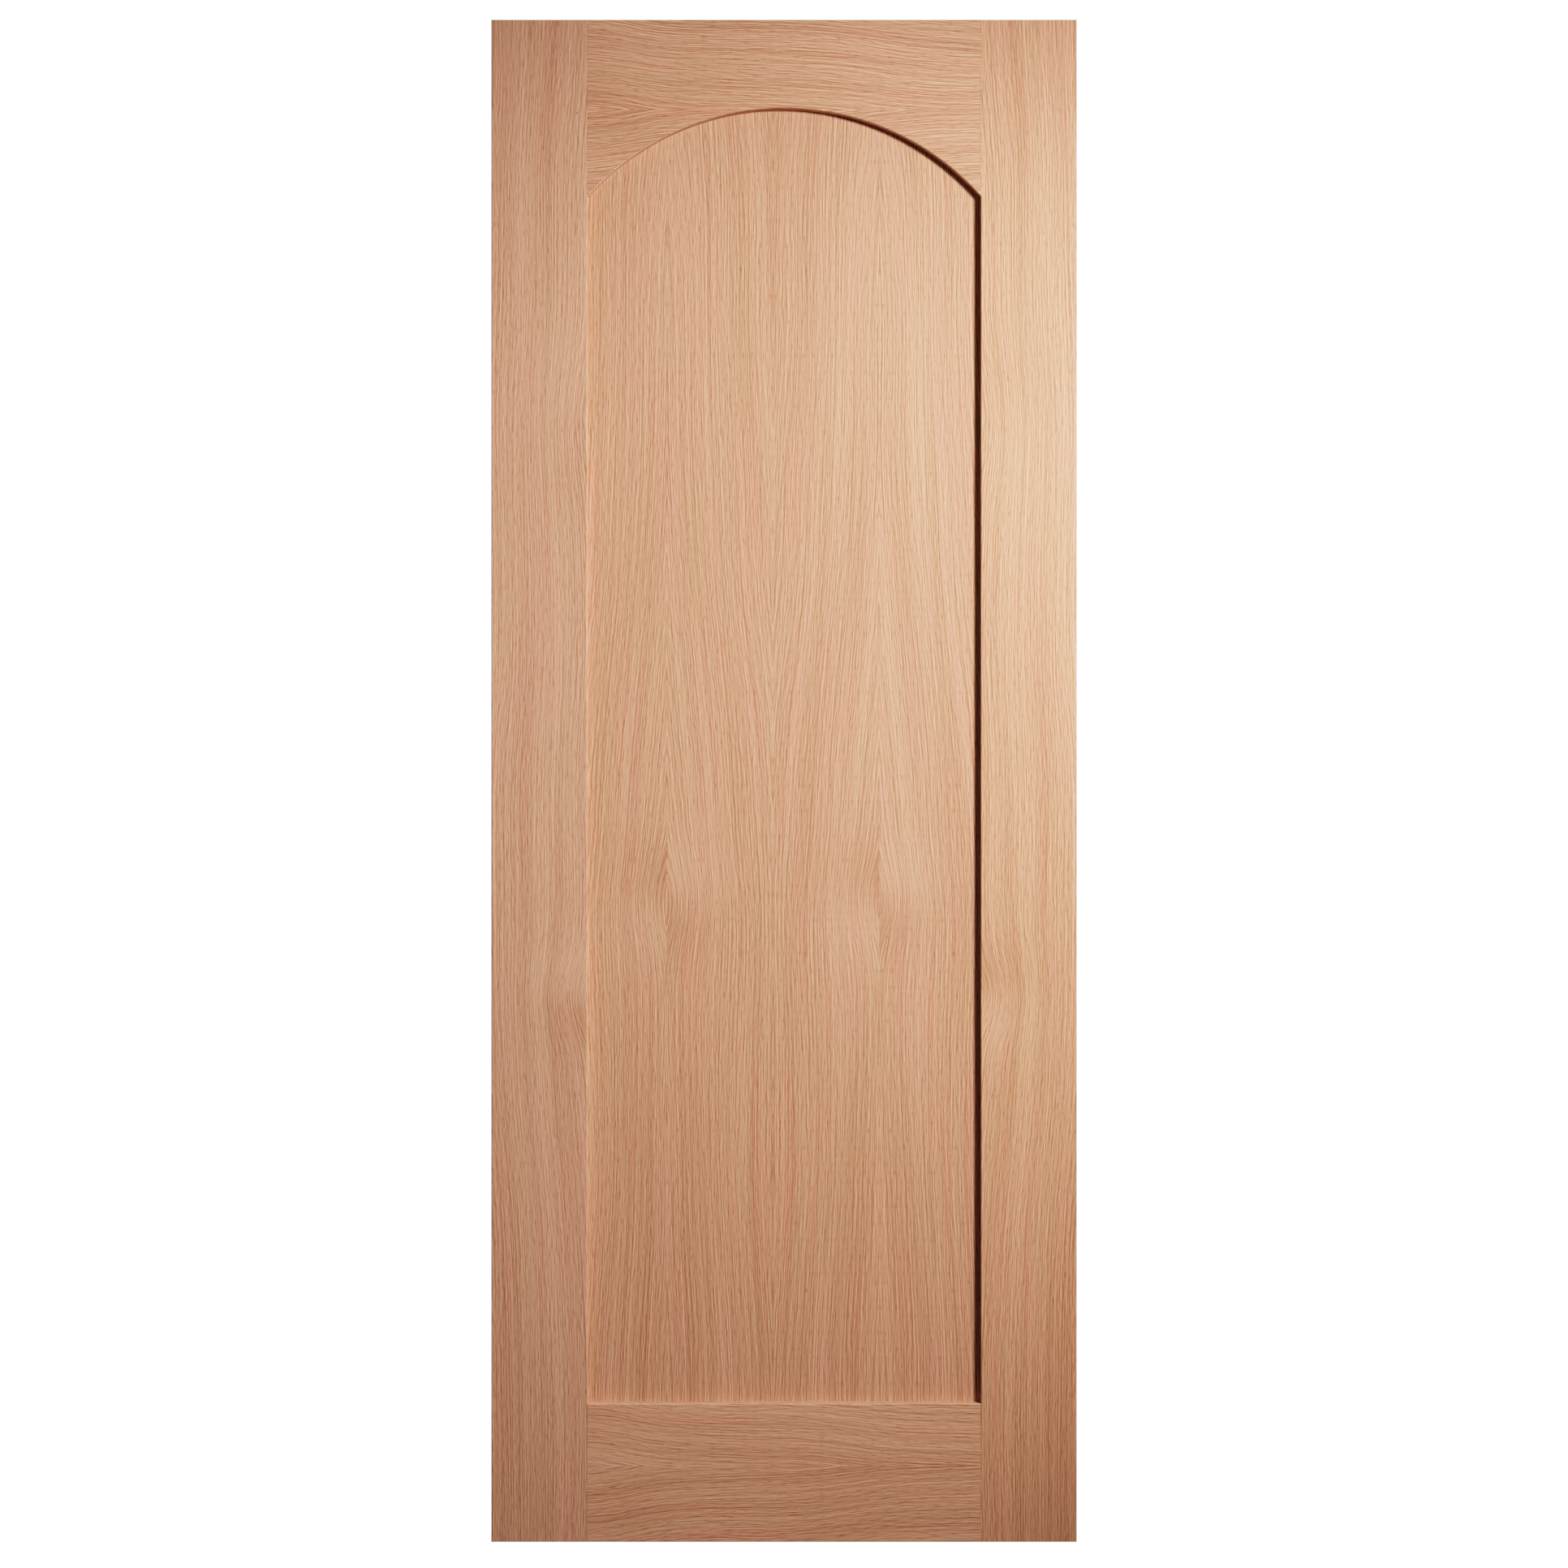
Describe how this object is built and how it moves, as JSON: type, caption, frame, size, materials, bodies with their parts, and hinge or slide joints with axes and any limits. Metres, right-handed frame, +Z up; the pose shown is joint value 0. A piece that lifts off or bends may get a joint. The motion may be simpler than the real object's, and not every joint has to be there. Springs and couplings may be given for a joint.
{
  "type": "arched wooden door leaf",
  "caption": "Tall oak-veneered interior door leaf: flat stiles and rails around one flat recessed panel under a circular arch, with no ironmongery.",
  "frame": {"origin": "middle of the bottom edge of the leaf, half way through its thickness", "axes": "+Z up the leaf, +X across its width to the right seen from the front, +Y through its thickness, so the front faces -Y"},
  "size_m": [0.762, 0.035, 1.981],
  "materials": {
    "oak_veneer": "unfinished oak veneer, fine open grain, book-matched",
    "oak_lipping": "solid oak, planed smooth",
    "core_softwood": "glued softwood, planed",
    "panel_fibreboard": "medium density fibreboard",
    "dowel_beech": "fluted beech dowel"
  },
  "bodies": {
    "root": {"left_stile_core": "core_softwood", "left_stile_outer_lipping": "oak_lipping", "left_stile_inner_lipping": "oak_lipping", "left_stile_front_veneer": "oak_veneer", "left_stile_back_veneer": "oak_veneer", "right_stile_core": "core_softwood", "right_stile_outer_lipping": "oak_lipping", "right_stile_inner_lipping": "oak_lipping", "right_stile_front_veneer": "oak_veneer", "right_stile_back_veneer": "oak_veneer", "top_rail_core": "core_softwood", "top_rail_outer_lipping": "oak_lipping", "top_rail_arch_lipping": "oak_lipping", "top_rail_front_veneer": "oak_veneer", "top_rail_back_veneer": "oak_veneer", "bottom_rail_core": "core_softwood", "bottom_rail_outer_lipping": "oak_lipping", "bottom_rail_inner_lipping": "oak_lipping", "bottom_rail_front_veneer": "oak_veneer", "bottom_rail_back_veneer": "oak_veneer", "panel_core": "panel_fibreboard", "panel_front_veneer": "oak_veneer", "panel_back_veneer": "oak_veneer", "bottom_left_dowel_1": "dowel_beech", "bottom_left_dowel_2": "dowel_beech", "bottom_left_dowel_3": "dowel_beech", "bottom_right_dowel_1": "dowel_beech", "bottom_right_dowel_2": "dowel_beech", "bottom_right_dowel_3": "dowel_beech", "top_left_dowel_1": "dowel_beech", "top_left_dowel_2": "dowel_beech", "top_left_dowel_3": "dowel_beech", "top_right_dowel_1": "dowel_beech", "top_right_dowel_2": "dowel_beech", "top_right_dowel_3": "dowel_beech"}
  },
  "joints": []
}
